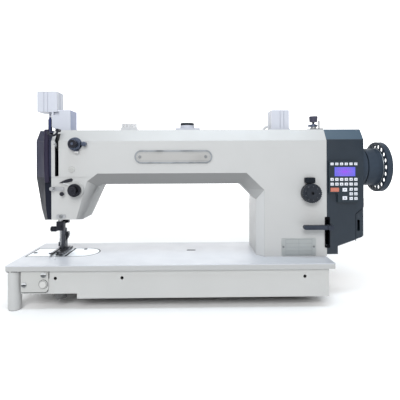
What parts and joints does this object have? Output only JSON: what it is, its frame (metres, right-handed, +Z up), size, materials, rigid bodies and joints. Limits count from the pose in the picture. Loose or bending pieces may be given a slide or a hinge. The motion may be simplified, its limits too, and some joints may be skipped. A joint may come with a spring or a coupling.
{
  "type": "leather sewing machine",
  "caption": "Long-arm lockstitch sewing machine head for leather, with walking foot, air foot lift, direct drive motor and handwheel.",
  "frame": {"origin": "centre of the bounding box in x and y, on the plane of the rest posts", "axes": "+X from the needle end to the handwheel, +Y from the operator to the back, +Z up"},
  "size_m": [0.745, 0.178, 0.416],
  "materials": {
    "casting_paint": "semi-gloss grey-white machine enamel",
    "bed_paint": "satin pale enamel on the ground bed top",
    "cover_black": "satin black paint",
    "cover_slate": "fine-textured dark slate moulding",
    "black_plastic": "smooth black plastic",
    "key_white": "matt pale key tops",
    "key_orange": "matt orange key top",
    "display": "glossy backlit display window",
    "bright_steel": "ground bright steel",
    "dark_steel": "dark oiled steel",
    "plate_silver": "satin silver sheet, blank",
    "bobbin_brass": "worn brass",
    "rubber": "black rubber",
    "tube_white": "pale flexible tube"
  },
  "bodies": {
    "base": {"bed_casting": "bed_paint", "rest_post": "casting_paint", "rubber_foot": "rubber", "skirt_cover_plate": "casting_paint", "needle_plate": "bright_steel", "hook_cover_plate": "bright_steel", "bobbin_case": "bright_steel", "timing_belt": "rubber", "motor_housing": "cover_black", "lift_cylinder": "casting_paint", "lift_bracket": "casting_paint", "arm_casting": "casting_paint", "face_cover": "cover_black", "arm_top_cover": "casting_paint", "badge_plate": "plate_silver", "rating_plate": "plate_silver", "fasteners": "bright_steel", "upper_tension": "bright_steel", "lower_tension": "bright_steel", "thread_guides": "bright_steel", "dial_pointer": "black_plastic", "slot_plate": "cover_black", "reverse_cylinder": "casting_paint", "air_tube": "tube_white", "winder_base": "dark_steel", "filler_base": "casting_paint", "filler_cap": "black_plastic", "ribbed_guide": "casting_paint", "motor_cover": "cover_slate", "control_panel": "black_plastic", "display_window": "display", "keypad": "key_white"},
    "side_button": {"side_button": "key_white"},
    "feed": {"feed_dog": "dark_steel", "feed_bar": "dark_steel"},
    "hook": {"hook": "bright_steel"},
    "bobbin": {"bobbin": "bobbin_brass"},
    "lower_drive": {"lower_shaft": "bright_steel", "lower_pulley": "dark_steel"},
    "main_drive": {"main_shaft": "bright_steel", "upper_pulley": "dark_steel", "handwheel": "black_plastic"},
    "needle_rocker": {"needle_frame": "dark_steel"},
    "needle_slide": {"needle_bar": "bright_steel", "needle": "bright_steel", "needle_clamp": "dark_steel", "thumb_screw": "dark_steel"},
    "inner_foot": {"inner_foot": "bright_steel"},
    "presser": {"presser_bar": "bright_steel", "outer_foot": "dark_steel", "lift_rod": "dark_steel"},
    "take_up": {"take_up_lever": "bright_steel"},
    "upper_knob": {"upper_tension_knob": "dark_steel"},
    "lower_knob": {"lower_tension_knob": "dark_steel"},
    "check_spring": {"check_spring": "bright_steel"},
    "dial": {"stitch_dial": "black_plastic"},
    "reverse_lever": {"reverse_lever": "dark_steel"},
    "winder_spindle": {"winder_spindle": "black_plastic"},
    "winder_lever": {"winder_lever": "dark_steel"},
    "orange_key": {"orange_key": "key_orange"}
  },
  "joints": [
    {"name": "main_shaft_spin", "type": "hinge", "parent": "base", "child": "main_drive", "pos_m": [0.2335, 0.008, 0.259], "axis": [1, 0, 0], "continuous": true},
    {"name": "lower_shaft_spin", "type": "hinge", "parent": "base", "child": "lower_drive", "pos_m": [-0.0665, 0.031, 0.043], "axis": [1, 0, 0], "continuous": true},
    {"name": "hook_spin", "type": "hinge", "parent": "base", "child": "hook", "pos_m": [-0.2835, 0.008, 0.053], "axis": [0, 0, 1], "continuous": true},
    {"name": "bobbin_spin", "type": "hinge", "parent": "base", "child": "bobbin", "pos_m": [-0.2835, 0.008, 0.071], "axis": [0, 0, 1], "continuous": true},
    {"name": "needle_rock", "type": "hinge", "parent": "base", "child": "needle_rocker", "pos_m": [-0.307, 0.014, 0.315], "axis": [1, 0, 0], "range_deg": [-0.74, 0.74]},
    {"name": "needle_stroke", "type": "slide", "parent": "needle_rocker", "child": "needle_slide", "axis": [0, 0, -1], "range_m": [-0.008, 0.026]},
    {"name": "inner_foot_lift", "type": "slide", "parent": "needle_rocker", "child": "inner_foot", "axis": [0, 0, 1], "range_m": [0, 0.007]},
    {"name": "feed_travel", "type": "slide", "parent": "base", "child": "feed", "axis": [0, 1, 0], "range_m": [-0.0031, 0.0031]},
    {"name": "presser_lift", "type": "slide", "parent": "base", "child": "presser", "axis": [0, 0, 1], "range_m": [0, 0.012]},
    {"name": "take_up_swing", "type": "hinge", "parent": "base", "child": "take_up", "pos_m": [-0.297, 0.006, 0.283], "axis": [1, 0, 0], "range_deg": [-13.4, 43.4]},
    {"name": "upper_tension_turn", "type": "hinge", "parent": "base", "child": "upper_knob", "pos_m": [-0.2605, -0.059, 0.307], "axis": [0, 1, 0], "continuous": true},
    {"name": "lower_tension_turn", "type": "hinge", "parent": "base", "child": "lower_knob", "pos_m": [-0.2595, -0.059, 0.217], "axis": [0, 1, 0], "continuous": true},
    {"name": "check_spring_swing", "type": "hinge", "parent": "base", "child": "check_spring", "pos_m": [-0.2595, -0.045, 0.217], "axis": [0, -1, 0], "range_deg": [0, 25], "stiffness_Nm_per_rad": 0.02, "springref_deg": -20.05},
    {"name": "dial_turn", "type": "hinge", "parent": "base", "child": "dial", "pos_m": [0.2025, -0.049, 0.209], "axis": [0, 1, 0], "range_deg": [-150, 150]},
    {"name": "reverse_press", "type": "hinge", "parent": "base", "child": "reverse_lever", "pos_m": [0.2235, -0.009, 0.1435], "axis": [1, 0, 0], "range_deg": [0, 30], "stiffness_Nm_per_rad": 0.8, "springref_deg": -20.05},
    {"name": "winder_spin", "type": "hinge", "parent": "base", "child": "winder_spindle", "pos_m": [0.2255, 0.009, 0.346], "axis": [0, 0, 1], "continuous": true},
    {"name": "winder_lever_swing", "type": "hinge", "parent": "base", "child": "winder_lever", "pos_m": [0.2255, 0.009, 0.346], "axis": [0, 0, 1], "range_deg": [0, 25]},
    {"name": "side_button_press", "type": "slide", "parent": "base", "child": "side_button", "axis": [0, 1, 0], "range_m": [0, 0.0025], "stiffness_N_per_m": 400, "springref_m": -0.002},
    {"name": "orange_key_press", "type": "slide", "parent": "base", "child": "orange_key", "axis": [0, 1, 0], "range_m": [0, 0.0007], "stiffness_N_per_m": 900, "springref_m": -0.001}
  ],
  "couplings": [
    {"joint": "lower_shaft_spin", "follows": "main_shaft_spin", "ratio": 1},
    {"joint": "hook_spin", "follows": "main_shaft_spin", "ratio": 2},
    {"joint": "feed_travel", "follows": "needle_rock", "m_per_rad": 0.232},
    {"joint": "take_up_swing", "follows": "needle_stroke", "rad_per_m": 29.088}
  ]
}
